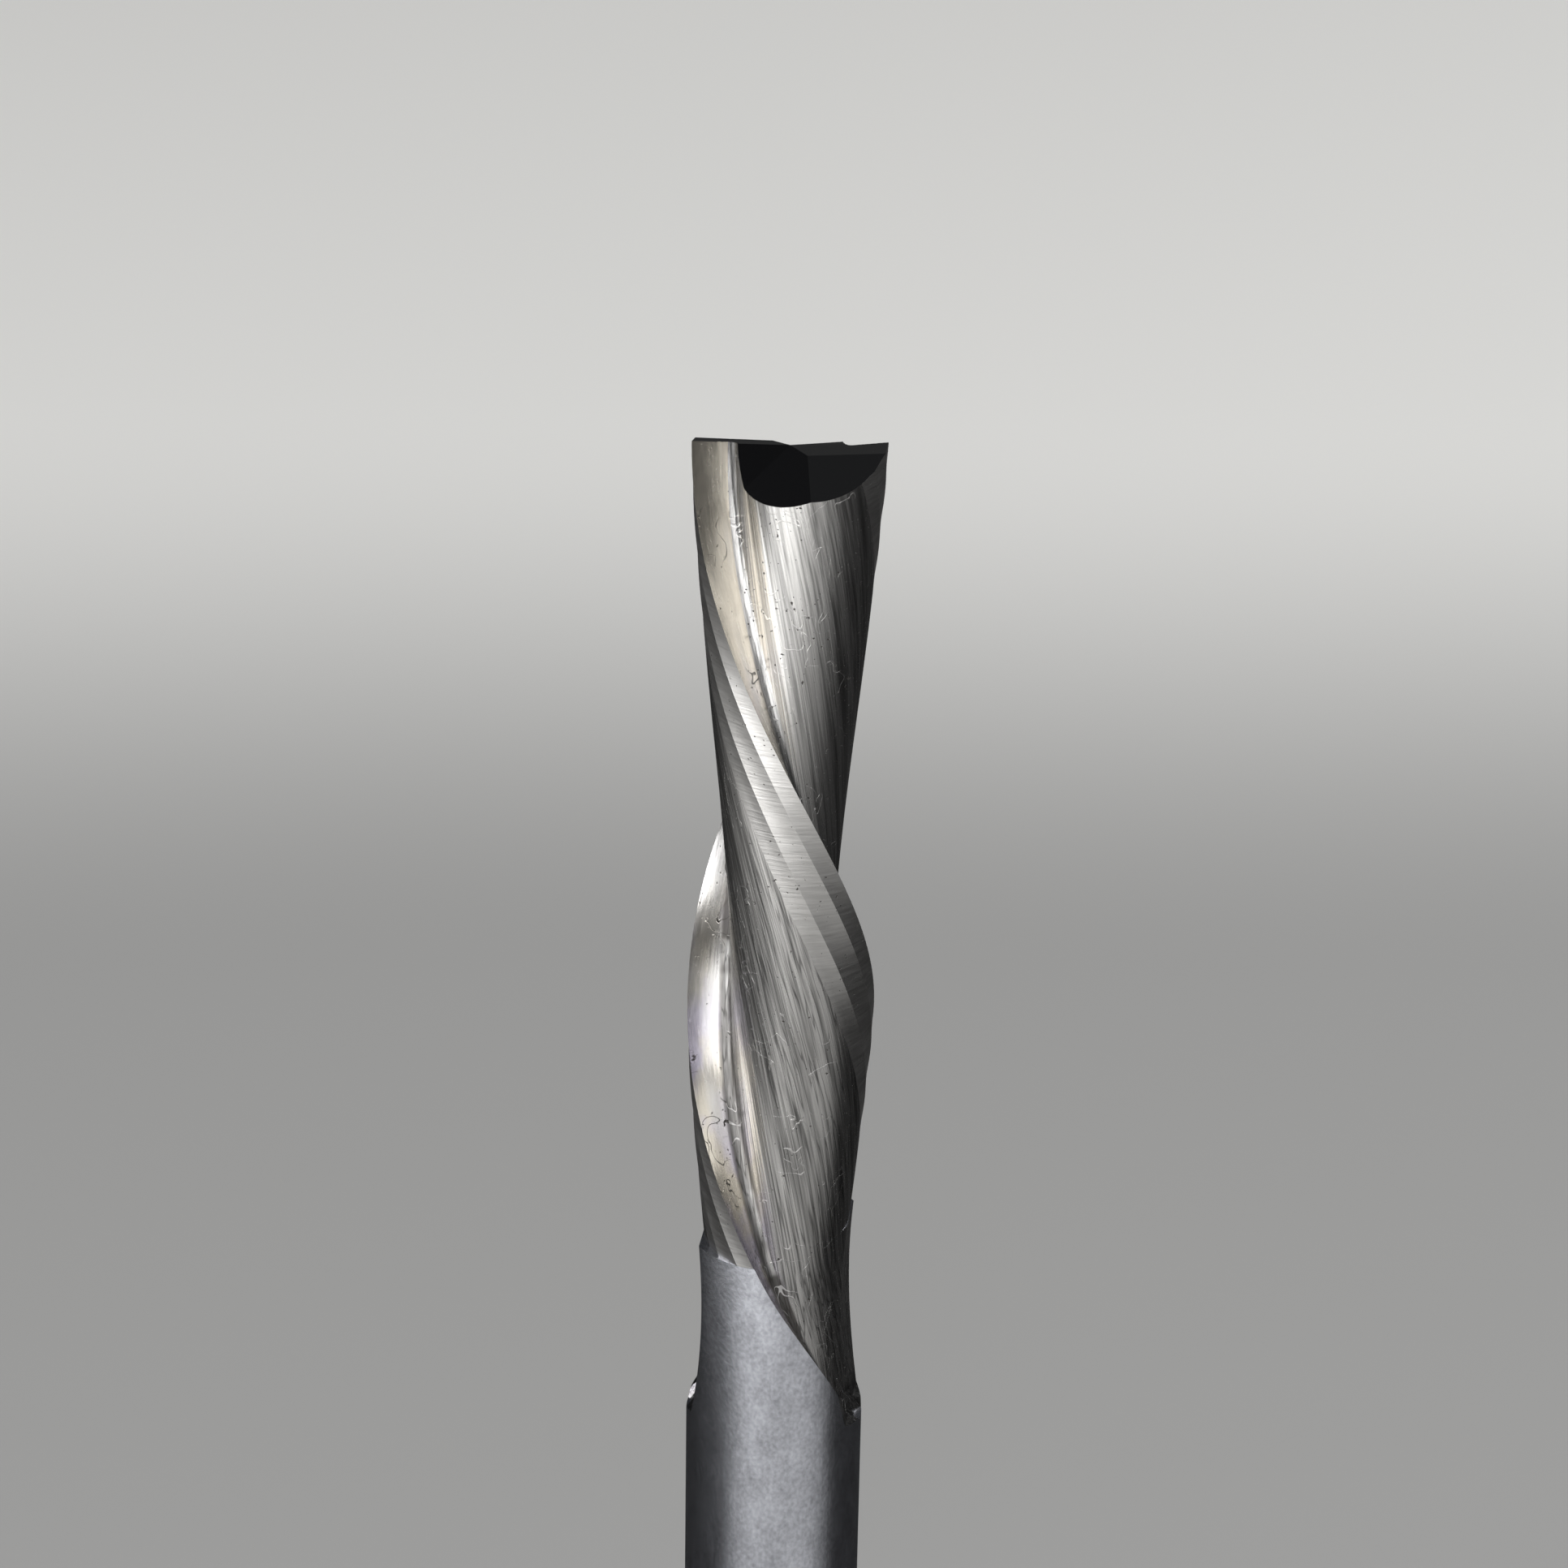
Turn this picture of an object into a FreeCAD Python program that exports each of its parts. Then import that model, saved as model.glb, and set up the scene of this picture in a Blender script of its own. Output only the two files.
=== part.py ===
import FreeCAD, Part
import math
import os

# Downcut spiral router bit: two flutes, right-hand cut, left-hand helix, ground from one solid rod.
# Millimetres and degrees. The rod stands on its shank end: Z runs up the axis to the cutting tip,
# and at the tip the two cutting edges lie on the X axis. Seen from the tip, the flute lies ahead of
# its edge, counterclockwise, and the ground land lies behind it.

# Turned rod
overall_length = 76.2
shank_diameter = 6.35
shank_end_chamfer = 0.5
cutting_diameter = 6.5
cutting_length = 30.3
collar_bevel_angle = 45.0

# Flutes
flute_count = 2
helix_angle = 25.5
core_diameter = 3.48
rake_angle = 6.0
gullet_radius = 0.29

# The three ground facets behind each cutting edge, in order from the edge
margin_width = 0.67
margin_relief = 11.0
second_width = 0.90
second_relief = 30.0
heel_width = 0.73
heel_relief = 48.0

# Where the wheel climbs out of the flute towards the shank, first slowly and then fast. The turns are
# how far the flute winds round the axis on the way, so the run-out's length follows the lead.
runout_turn = 58.86
runout_rise = 0.87
runout_end_turn = 7.57
runout_end_rise = 0.8
climb_direction = 65.0

# The scoop that the wheel's rim leaves on the heel side of the run-out
scoop_radius = 26.0
scoop_depth = 0.885
scoop_drop = 2.6
scoop_direction = 95.8
scoop_lead_in = 22.0
scoop_end_slope = 40.0

# Ground end of the tip
dish_angle = 2.1
end_land_width = 0.62
end_land_relief = 12.0
end_clearance = 29.0
gash_rake = 33.0
gash_lead = 4.0
gash_wall_slope = 35.8
gash_wall_turn = 37.2

# How the cutters are built
sections_per_turn = 30
cutter_overshoot = 1.3
run_on_length = 4.0
grinding_stock = 0.1
rim_sides = 4
rim_overshoot = 3.9
block_diameters = 4

cut_radius = cutting_diameter / 2
shank_radius = shank_diameter / 2
core_radius = core_diameter / 2
stock_radius = cut_radius + grinding_stock
rim_radius = cut_radius + rim_overshoot
block_size = block_diameters * cutting_diameter
lead = math.pi * cutting_diameter / math.tan(math.radians(helix_angle))
runout_length = lead * runout_turn / 360
runout_end_length = lead * runout_end_turn / 360
cut_end = overall_length - cutting_length
tooth_angle = 360 / flute_count
axis = FreeCAD.Vector(0, 0, 1)


def step(angle, distance):
    """The flat step of a distance in the direction of an angle."""
    return distance * math.cos(math.radians(angle)), distance * math.sin(math.radians(angle))


def turned(point, angle):
    """A flat point turned about the axis."""
    c, s = step(angle, 1)
    return point[0] * c - point[1] * s, point[0] * s + point[1] * c


def land_corners():
    """Corners of a tooth's land from its edge on the X axis back to its heel."""
    x, y = cut_radius, 0.0
    corners = [(x, y)]
    facets = ((margin_width, margin_relief), (second_width, second_relief), (heel_width, heel_relief))
    for width, relief in facets:
        dx, dy = step(-90 - relief, width)
        x, y = x + dx, y + dy
        corners.append((x, y))
    return corners


# The next tooth's heel, where the flute's back ends
heel = turned(land_corners()[-1], tooth_angle)
# The back is an arc about a point on the far side of the axis. It clears the core and meets the heel.
back_offset = (heel[0] ** 2 + heel[1] ** 2 - core_radius ** 2) / (2 * (core_radius - heel[0]))
back_radius = core_radius + back_offset
heel_direction = math.degrees(math.atan2(heel[1], heel[0] + back_offset))


def gullet_centre():
    """Centre of the small arc that touches both the rake face and the flute's back."""
    c, s = step(rake_angle, 1)
    # Start abreast of the edge, one radius off the rake face, then slide in along the face
    x, y = cut_radius - gullet_radius * s, gullet_radius * c
    along = (x + back_offset) * c + y * s
    apart = (x + back_offset) ** 2 + y ** 2 - (back_radius + gullet_radius) ** 2
    slide = along - math.sqrt(along ** 2 - apart)
    return x - slide * c, y - slide * s


def placer(z, shift=0.0):
    """What puts flat points into the flute's section at a height, moved out as the wheel climbs."""
    twist = 360 * (overall_length - z) / lead
    dx, dy = step(climb_direction, shift)

    def place(point):
        x, y = turned((point[0] + dx, point[1] + dy), twist)
        return FreeCAD.Vector(x, y, z)

    return place


def line(place, start, end):
    return Part.LineSegment(place(start), place(end)).toShape()


def arc(place, centre, radius, start, end):
    """An arc about a centre from one angle to another."""
    points = []
    for angle in (start, (start + end) / 2, end):
        dx, dy = step(angle, radius)
        points.append(place((centre[0] + dx, centre[1] + dy)))
    return Part.Arc(*points).toShape()


def cutter_section(place, back_end, run_on):
    """Closed section of a cutter: rake face, gullet, back, the points that run on from it, and a rim."""
    dx, dy = step(rake_angle, cutter_overshoot)
    outside = (cut_radius + dx, dy)
    centre = gullet_centre()
    dx, dy = step(rake_angle - 90, gullet_radius)
    rake_foot = (centre[0] + dx, centre[1] + dy)
    to_back = math.degrees(math.atan2(centre[1], centre[0] + back_offset))
    edges = [
        line(place, outside, rake_foot),
        arc(place, centre, gullet_radius, rake_angle - 90, to_back - 180),
        arc(place, (-back_offset, 0), back_radius, to_back, back_end),
    ]
    dx, dy = step(back_end, back_radius)
    last = run_on[-1]
    first_angle = math.degrees(math.atan2(outside[1], outside[0]))
    last_angle = math.degrees(math.atan2(last[1], last[0])) % 360
    turn = (first_angle - last_angle) / rim_sides
    rim = [step(last_angle + turn * i, rim_radius) for i in range(rim_sides + 1)]
    corners = [(dx - back_offset, dy)] + run_on + rim + [outside]
    return Part.Wire(edges + [line(place, a, b) for a, b in zip(corners, corners[1:])])


def tooth_space_section(z):
    """The flute and the land behind the next edge, with the margin's line run on outwards."""
    land = [turned(corner, tooth_angle) for corner in reversed(land_corners())]
    dx, dy = step(tooth_angle + 90 - margin_relief, cutter_overshoot)
    return cutter_section(placer(z), heel_direction, land[1:-1] + [(land[-1][0] + dx, land[-1][1] + dy)])


def runout_section(z, shift):
    """The flute alone. Its back runs on straight from where it faces nearly the way the scoop does."""
    back_end = scoop_direction - scoop_lead_in - 360 * (cut_end - z) / lead
    x, y = step(back_end, back_radius)
    dx, dy = step(back_end + 90, run_on_length)
    return cutter_section(placer(z, shift), back_end, [(x - back_offset + dx, y + dy)])


def levels(top, bottom):
    """Heights from top to bottom, close enough together to follow the helix."""
    count = max(2, math.ceil(sections_per_turn * (top - bottom) / lead))
    return [top + (bottom - top) * i / count for i in range(count + 1)]


def tooth_space_cutter():
    heights = levels(overall_length + cutter_overshoot, cut_end)
    return Part.makeLoft([tooth_space_section(z) for z in heights], True, False)


def runout_cutters():
    """The slow climb out of the flute and the short steep end."""
    slow_end = cut_end - runout_length
    rise = runout_rise / runout_length
    slow = [runout_section(z, rise * (cut_end - z)) for z in levels(cut_end, slow_end)]
    fast = [slow[-1], runout_section(slow_end - runout_end_length, runout_rise + runout_end_rise)]
    return [Part.makeLoft(slow, True, False), Part.makeLoft(fast, True, True)]


def scoop():
    """A wheel's rim that reaches into the flute's heel side, stopped by a steep end."""
    place = placer(cut_end)
    facing = place(step(scoop_direction, 1)) - place((0, 0))
    along = place(step(scoop_direction + 90, 1)) - place((0, 0))
    centre = axis * (cut_end - scoop_drop) + facing * (cut_radius - scoop_depth + scoop_radius)
    wheel = Part.makeCylinder(scoop_radius, block_size, centre - along * block_size / 2, along)
    slope = math.radians(scoop_end_slope)
    end_point = axis * (cut_end - runout_length) + facing * (cut_radius - scoop_depth)
    below = block(end_point, facing * -math.sin(slope) - axis * math.cos(slope))
    return wheel.cut(below)


def turned_rod():
    """The shank, and above a small bevel the head with a little stock left to grind."""
    bevel = abs(stock_radius - shank_radius) / math.tan(math.radians(collar_bevel_angle))
    outline = [
        (0, 0), (shank_radius - shank_end_chamfer, 0), (shank_radius, shank_end_chamfer),
        (shank_radius, cut_end), (stock_radius, cut_end + bevel), (stock_radius, overall_length),
        (0, overall_length), (0, 0),
    ]
    half = Part.Face(Part.makePolygon([FreeCAD.Vector(r, 0, z) for r, z in outline]))
    return half.revolve(FreeCAD.Vector(0, 0, 0), axis, 360)


def block(origin, outwards):
    """A large block standing on the plane through origin, on the side that outwards points to."""
    box = Part.makeBox(block_size, block_size, block_size, FreeCAD.Vector(-block_size / 2, -block_size / 2, 0))
    box.Placement = FreeCAD.Placement(origin, FreeCAD.Rotation(axis, outwards))
    return box


def end_grind():
    """What the end grinding takes off behind the edge at +X and in front of the edge at -X."""
    dish = math.tan(math.radians(dish_angle))
    relief = math.tan(math.radians(end_land_relief))
    centre = FreeCAD.Vector(0, 0, overall_length - dish * cut_radius)
    land_back = centre + FreeCAD.Vector(0, -end_land_width, -end_land_width * relief)
    land = block(centre, FreeCAD.Vector(-dish, -relief, 1))
    clearance = block(land_back, FreeCAD.Vector(-dish, -math.tan(math.radians(end_clearance)), 1))
    fall_x, fall_y = step(90 - gash_wall_turn, math.tan(math.radians(gash_wall_slope)))
    gash_wall = block(centre, FreeCAD.Vector(-fall_x, -fall_y, 1))
    # The gash's other wall holds the inner part of the edge at -X and leans in under it
    edge = FreeCAD.Vector(-1, -math.tan(math.radians(gash_lead)), dish)
    down_wall = FreeCAD.Vector(0, -math.tan(math.radians(gash_rake)), -1)
    in_front = block(centre, edge.cross(down_wall))
    return land.fuse(clearance).fuse(gash_wall).common(in_front)


def router_bit():
    """The rod with each flute, its run-out and the end grinding cut away."""
    body = turned_rod()
    for cutter in [tooth_space_cutter()] + runout_cutters() + [scoop(), end_grind()]:
        for i in range(flute_count):
            tool = cutter.copy()
            tool.rotate(FreeCAD.Vector(0, 0, 0), axis, tooth_angle * i)
            body = body.cut(tool)
    return body


if __name__ == "__main__":
    os.makedirs("parts", exist_ok=True)
    router_bit().exportStep("parts/router_bit.step")
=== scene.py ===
"""A downcut spiral router bit of ground carbide, upright on a plain floor under soft studio light."""
import math

import bpy
from bpy.props import FloatProperty, FloatVectorProperty, IntProperty, PointerProperty
from mathutils import Matrix, Vector


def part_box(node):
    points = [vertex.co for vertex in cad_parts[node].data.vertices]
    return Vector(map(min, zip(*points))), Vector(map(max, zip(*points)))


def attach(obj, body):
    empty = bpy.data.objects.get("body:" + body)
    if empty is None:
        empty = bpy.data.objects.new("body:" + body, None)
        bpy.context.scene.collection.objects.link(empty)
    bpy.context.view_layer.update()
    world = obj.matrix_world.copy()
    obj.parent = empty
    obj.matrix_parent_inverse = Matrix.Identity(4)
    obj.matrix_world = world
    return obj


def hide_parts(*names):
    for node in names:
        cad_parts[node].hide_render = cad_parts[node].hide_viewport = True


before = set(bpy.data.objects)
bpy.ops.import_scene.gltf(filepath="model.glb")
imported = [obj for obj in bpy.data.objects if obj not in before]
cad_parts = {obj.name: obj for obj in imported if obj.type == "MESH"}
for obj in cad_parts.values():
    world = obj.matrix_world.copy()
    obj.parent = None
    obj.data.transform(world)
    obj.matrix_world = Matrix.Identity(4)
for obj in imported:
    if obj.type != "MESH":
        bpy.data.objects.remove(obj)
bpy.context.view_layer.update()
rod_low, rod_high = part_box("router_bit")

bl_info = {
    "name": "Spiral Router Bit",
    "version": (1, 0, 0),
    "blender": (4, 5, 0),
    "location": "View3D > Sidebar > Router Bit",
    "description": "Grinds a two-flute downcut spiral router bit and sets up its studio",
    "category": "Add Mesh",
}

MM = 1000.0  # the trees and the patterns work in millimetres
OUTLINE_GAP = 0.25  # mm between points on the straight parts of a cutter's outline
OVERSHOOT = 1.3  # mm that a cutter reaches past the edge and the tip
RIM_OVERSHOOT = 3.9  # mm from the edge out to a cutter's rim
RUN_ON_LENGTH = 4.0  # mm that the run-out's back runs on straight
GRINDING_STOCK = 0.1  # mm left on the head's radius for the grinding
WELD_GAP = 2e-4  # mm
SHARP_ANGLE = math.radians(12)
BLOCK_RADII = 8  # size of the end grinding's blocks in radii of the cut
ROD_SIDES = 192
WHEEL_SIDES = 360
FLUTE_ROWS = 110
RUNOUT_ROWS = 30
GULLET_STEPS = 12
BACK_STEPS = 44
RUNOUT_BACK_STEPS = 32
RIM_SIDES = 4
CLIMB_EASE = 0.3  # share of the slow climb over which it starts gently

# The carbide's patterns: stretch along X, Y and Z per millimetre, and detail
PATTERNS = {
    "coarse": ((3.4, 3.4, 0.05), 3.0),
    "fine": ((12.0, 12.0, 0.10), 3.0),
    "lines": ((6.5, 6.5, 0.05), 1.0),
    "across": ((0.9, 0.9, 13.0), 4.0),
    "slow": ((0.5, 0.5, 0.35), 3.0),
    "grain": ((7.5, 7.5, 5.5), 2.0),
    "mottle": ((1.7, 1.7, 0.8), 4.0),
    "tint": ((0.5, 0.5, 0.12), 2.0),
    "spots": ((6.5, 6.5, 6.5), 2.0),
    "patches": ((0.7, 0.7, 0.5), 1.0),
    "curls": ((0.9, 0.9, 0.7), 1.0),
}
# Values of those patterns between which a mark sets in
STREAK_STEP = (0.38, 0.58)
LINE_WIDTH = (0.0, 0.05)
TINT_STEP = (0.36, 0.60)
VIOLET_STEP = (0.44, 0.58)
RESIN_STEP = (0.38, 0.48)
SPECK_STEP = (0.79, 0.82)
HAIR_WIDTH = (0.009, 0.005)
HAIR_PATCHES = (0.53, 0.57)
# Where the marks lie, in millimetres. Heights are from the shank's end.
MARK_LEAD = 66.0  # the wheel's marks wind less than the flute does
STRAW_RISE = (64.0, 70.0)  # where the tint turns all straw, and the rake faces turn brighter as painted light
MARKS_FADE = (67.0, 58.0)  # where the fine lines grow stronger on the way down
GULLET_DIRT_RISE = (64.0, 61.0)  # where the resin in the gullet ends
GULLET_DIRT_NARROWS = (55.0, 60.0)  # where it grows narrower on the way up
GULLET_DIRT_EDGE = (0.33, 0.26)  # how far it reaches from the gullet's centre
RUNOUT_END_PAINTED_SHADE = (0.4, -0.1)  # above the slow climb's end, where the flute turns darker as painted shade
PAINTED_EDGE_HIGHLIGHT_WIDTH = (0.07, 0.03)  # how far the painted highlight along the end edges reaches
END_ROUGHNESS = 0.26
BUMP_STRENGTH = 0.5
BUMP_DISTANCE = 2.0e-5  # m

# The floor, in metres from the axis and in degrees from the X axis
FLOOR_REACH = 0.5
FLOOR_FADE = (0.30, 0.46)  # where it fades into the backdrop
FLOOR_CHANGE_BLUR = 0.04
FLOOR_DRIFT = 0.012  # how far that change wanders
FLOOR_DRIFT_STRETCH = (9.0, 4.0, 0.0)
# What glossy rays see of the floor is a painted reflection, bright towards these directions and dim elsewhere
MIRROR_CHANGE = (0.076, 0.096)  # where its far mirror image takes over from the near one
MIRROR_DIRECTION = -130.0  # front left
MIRROR_FOCUS = 4.0
NEAR_MIRROR_DIRECTION = -84.0
NEAR_MIRROR_SPREAD = (0.60, 0.95)
NEAR_MIRROR_STRENGTH = 0.46

# Lamps about a target: azimuth and elevation in degrees, distance and size in metres, share of the power
LAMP_TARGET = Vector((0, 0, 0.058))
WINDOW_LAMPS = {
    "window_left": (-38, -13.5, 0.15, (0.20, 0.04), 0.7),
    "window_front": (17, 0, 0.22, (0.23, 0.08), 1.3),
    "window_right": (70, 6, 0.22, (0.16, 0.06), 0.33),
}
SIDE_LAMPS = {
    "side_left": (-62, 32, 0.9, (0.5, 0.5), 1.0),
    "side_right": (95, 38, 0.9, (0.5, 0.5), 1.0),
}
CAMERA_PLACE = (-4.355e-3, -158.65e-3, 145.56e-3)
CAMERA_TURN = (62.656, -0.8687, -1.1183)  # degrees
CAMERA_LENS = 120.45  # mm
CAMERA_SENSOR = 36.0  # mm
CAMERA_CLIP = 0.005  # m

# What a face was ground by, kept on the mesh in the attribute "finish"
SHANK, RAKE, FLUTE, MARGIN, SECOND, HEEL, RUNOUT, END_LAND, CLEARANCE, GASH = range(10)


def length(name, description, default):
    return FloatProperty(name=name, description=description, default=default, unit="LENGTH", precision=5)


def angle(name, description, degrees):
    return FloatProperty(name=name, description=description, default=math.radians(degrees), subtype="ANGLE")


def colour(name, description, default):
    return FloatVectorProperty(
        name=name, description=description, default=default, subtype="COLOR", size=3, min=0.0, max=1.0
    )


def share(name, description, default):
    return FloatProperty(
        name=name, description=description, default=default, min=0.0, max=1.0, subtype="FACTOR"
    )


def lamp_power(name, description, default):
    return FloatProperty(name=name, description=description, default=default, unit="POWER")


class RouterBitSizes(bpy.types.PropertyGroup):
    overall_length: length("Overall length", "Shank end to cutting tip", rod_high.z - rod_low.z)
    cutting_diameter: length("Cutting diameter", "Across the two cutting edges", 6.5e-3)
    shank_diameter: length("Shank diameter", "Size of the collet that holds the bit", 6.35e-3)
    shank_chamfer: length("Shank chamfer", "Chamfer at the shank's end", 0.5e-3)
    cutting_length: length("Cutting length", "Tip to the end of the ground lands", 30.3e-3)
    flutes: IntProperty(name="Flutes", description="Number of helical flutes", default=2, min=2, max=2)
    helix_angle: angle("Helix angle", "Angle of the left-hand flutes to the axis", 25.5)
    core_diameter: length("Core diameter", "Thickness left between the flutes", 3.48e-3)
    rake_angle: angle("Rake angle", "How far the rake face leans in under the edge", 6.0)
    gullet_radius: length("Gullet radius", "Radius between the rake face and the flute's back", 0.29e-3)
    margin_width: length("Margin width", "First ground facet behind the edge", 0.67e-3)
    margin_relief: angle("Margin relief", "Fall of the first facet", 11.0)
    second_width: length("Second width", "Second ground facet", 0.90e-3)
    second_relief: angle("Second relief", "Fall of the second facet", 30.0)
    heel_width: length("Heel width", "Third ground facet", 0.73e-3)
    heel_relief: angle("Heel relief", "Fall of the third facet", 48.0)
    runout_length: length("Run-out length", "Where the flute climbs slowly towards the shank", 7.0e-3)
    runout_rise: length("Run-out rise", "How far it climbs there", 0.87e-3)
    runout_end_length: length("Run-out end length", "Where it climbs out fast", 0.9e-3)
    runout_end_rise: length("Run-out end rise", "How far it climbs there", 0.8e-3)
    climb_direction: angle("Climb direction", "Way out of the flute, from the edge", 65.0)
    scoop_radius: length("Scoop radius", "Rim of the wheel that ends the heel side", 26.0e-3)
    scoop_depth: length("Scoop depth", "How deep that rim reaches in", 0.885e-3)
    scoop_drop: length("Scoop drop", "How far below the lands it reaches deepest", 2.6e-3)
    scoop_direction: angle("Scoop direction", "The way the scoop faces, from the edge", 95.8)
    scoop_lead_in: angle("Scoop lead-in", "Where the flute's back runs on straight", 22.0)
    scoop_end_slope: angle("Scoop end slope", "Slope of the scoop's end", 40.0)
    dish_angle: angle("Dish angle", "Hollow of the end edges", 2.1)
    end_land_width: length("End land width", "Narrow land behind an end edge", 0.62e-3)
    end_land_relief: angle("End land relief", "Fall of that land", 12.0)
    end_clearance: angle("End clearance", "Fall behind that land", 29.0)
    gash_rake: angle("Gash rake", "Lean of the gash under the end edge", 33.0)
    gash_lead: angle("Gash lead", "Turn of the inner end edge", 4.0)
    gash_wall_slope: angle("Gash wall slope", "Slope of the gash's other wall", 35.8)
    gash_wall_turn: angle("Gash wall turn", "Direction of that slope", 37.2)


class CarbideLook(bpy.types.PropertyGroup):
    metal: colour("Ground metal", "Bright ground carbide", (0.64, 0.63, 0.62))
    land: colour("Ground lands", "The facets behind the edges", (0.58, 0.57, 0.56))
    shank: colour("Shank", "Satin shank", (0.67, 0.685, 0.75))
    # The tip's colour is a darker copy of the carbide, as painted shade
    end: colour("Tip", "Ground end of the tip", (0.20, 0.20, 0.205))
    # The gash colour is a nearly black copy of the carbide, as painted shade
    gash: colour("Gash", "Rough walls of the gash", (0.07, 0.07, 0.075))
    straw: colour("Straw tint", "Warm heat tint on the rake faces", (0.67, 0.62, 0.53))
    violet: colour("Violet tint", "Cool heat tint on the rake faces", (0.57, 0.53, 0.63))
    dust: colour("Dust", "Resin and dust in the pits", (0.05, 0.045, 0.04))
    flute_roughness: share("Flute roughness", "Roughness of the flutes", 0.22)
    land_roughness: share("Land roughness", "Roughness of the ground lands", 0.26)
    shank_roughness: share("Shank roughness", "Roughness of the shank", 0.24)
    wear: share("Wear", "How many pits, specks and hairs there are", 0.5)


class StudioLook(bpy.types.PropertyGroup):
    near_floor: colour("Near floor", "Pale floor round the router bit", (0.41, 0.408, 0.402))
    far_floor: colour("Far floor", "Paler floor farther back", (0.95, 0.945, 0.92))
    # The dim part of the floor's painted reflection
    painted_reflection_dim: colour("Dim floor", "What the metal mirrors away from the window", (0.016, 0.016, 0.016))
    floor_change: length("Change of floor", "How far back the floor turns paler", 0.145)
    room: colour("Room", "Light from the room", (0.03, 0.031, 0.032))
    backdrop: colour("Backdrop", "Pale backdrop beyond the floor", (0.62, 0.618, 0.60))
    window_power: lamp_power("Window", "Power of each front light", 0.12)
    side_power: lamp_power("Side lights", "Power of each side light", 5.6)


class Value:
    """A node's output socket that takes part in arithmetic."""

    def __init__(self, net, socket):
        self.net = net
        self.socket = socket

    def math(self, operation, *others):
        return self.net.add("ShaderNodeMath", {"operation": operation}, dict(enumerate((self, *others))))

    def __add__(self, other):
        return self.math("ADD", other)

    def __sub__(self, other):
        return self.math("SUBTRACT", other)

    def __rsub__(self, other):
        return (self * -1) + other

    def __mul__(self, other):
        return self.math("MULTIPLY", other)

    def __truediv__(self, other):
        return self.math("DIVIDE", other)

    def __pow__(self, other):
        return self.math("POWER", other)

    def __neg__(self):
        return self * -1

    __radd__ = __add__
    __rmul__ = __mul__


class Net:
    """Adds nodes to a tree, for shaders and geometry alike."""

    def __init__(self, tree):
        self.tree = tree

    def add(self, kind, settings=None, inputs=None, output=0):
        """A node of a kind, its settings made first, then its inputs by name or place. Gives one output."""
        node = self.tree.nodes.new(kind)
        for name, value in (settings or {}).items():
            setattr(node, name, value)
        for key, value in (inputs or {}).items():
            sockets = [s for s in node.inputs if s.enabled]
            socket = sockets[key] if isinstance(key, int) else next(s for s in sockets if s.name == key)
            for item in value if isinstance(value, list) else [value]:
                if isinstance(item, Value):
                    self.tree.links.new(item.socket, socket)
                else:
                    socket.default_value = item
        sockets = [s for s in node.outputs if s.enabled]
        picked = sockets[output] if isinstance(output, int) else next(s for s in sockets if s.name == output)
        return Value(self, picked)

    def xyz(self, vector):
        """The three parts of a vector."""
        parts = self.add("ShaderNodeSeparateXYZ", inputs={0: vector})
        return [Value(self, s) for s in parts.socket.node.outputs]

    def vector(self, x, y, z):
        return self.add("ShaderNodeCombineXYZ", inputs={0: x, 1: y, 2: z})

    def vector_math(self, operation, *values):
        return self.add("ShaderNodeVectorMath", {"operation": operation}, dict(enumerate(values)))

    def mix(self, factor, a, b):
        """From colour a to colour b."""
        a, b = ((*c, 1.0) if not isinstance(c, Value) and len(c) == 3 else c for c in (a, b))
        return self.add("ShaderNodeMix", {"data_type": "RGBA"}, {"Factor": factor, "A": a, "B": b})

    def blend(self, factor, a, b):
        """From number a to number b."""
        return self.add("ShaderNodeMix", {"data_type": "FLOAT"}, {"Factor": factor, "A": a, "B": b})

    def noise(self, vector, detail, distortion=0.0):
        return self.add(
            "ShaderNodeTexNoise",
            inputs={"Vector": vector, "Scale": 1.0, "Detail": detail, "Distortion": distortion},
        )

    def ramp(self, value, low, high):
        """A soft step from 0 at low to 1 at high."""
        settings = {"interpolation_type": "SMOOTHSTEP"}
        return self.add("ShaderNodeMapRange", settings, {"Value": value, "From Min": low, "From Max": high})

    def scaled(self, parts, *factors):
        """A vector of three parts, each times its factor."""
        return self.vector(*(part * factor for part, factor in zip(parts, factors)))

    def turned(self, vector, turn):
        """The vector turned about the Z axis."""
        about = {"rotation_type": "Z_AXIS"}
        return self.add("ShaderNodeVectorRotate", about, {"Vector": vector, "Angle": turn})

    def named(self, label):
        return self.add("GeometryNodeInputNamedAttribute", {"data_type": "FLOAT"}, {"Name": label})

    def sampled(self, geometry, value, index, kind="FLOAT"):
        """A value as it is at one of a geometry's points."""
        return self.add(
            "GeometryNodeSampleIndex", {"data_type": kind, "domain": "POINT"},
            {"Geometry": geometry, "Value": value, "Index": index},
        )

    def finished(self, solid, finish):
        """The solid with its faces marked by what grinds them."""
        return self.add(
            "GeometryNodeStoreNamedAttribute", {"data_type": "FLOAT", "domain": "FACE"},
            {"Geometry": solid, "Name": "finish", "Value": finish},
        )

    def welded(self, solid):
        return self.add("GeometryNodeMergeByDistance", inputs={"Geometry": solid, "Distance": WELD_GAP})


def geometry_tree(name, inputs):
    """A new geometry tree with named inputs, its net, and its inputs as values."""
    tree = bpy.data.node_groups.new(name, "GeometryNodeTree")
    tree.interface.new_socket("Geometry", in_out="OUTPUT", socket_type="NodeSocketGeometry")
    for label, kind in inputs:
        tree.interface.new_socket(label, in_out="INPUT", socket_type="NodeSocket" + kind)
    net = Net(tree)
    start = tree.nodes.new("NodeGroupInput")
    return tree, net, {s.name: Value(net, s) for s in start.outputs if s.name}


def finish_tree(net, result):
    output = net.tree.nodes.new("NodeGroupOutput")
    net.tree.links.new(result.socket, output.inputs[0])


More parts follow.
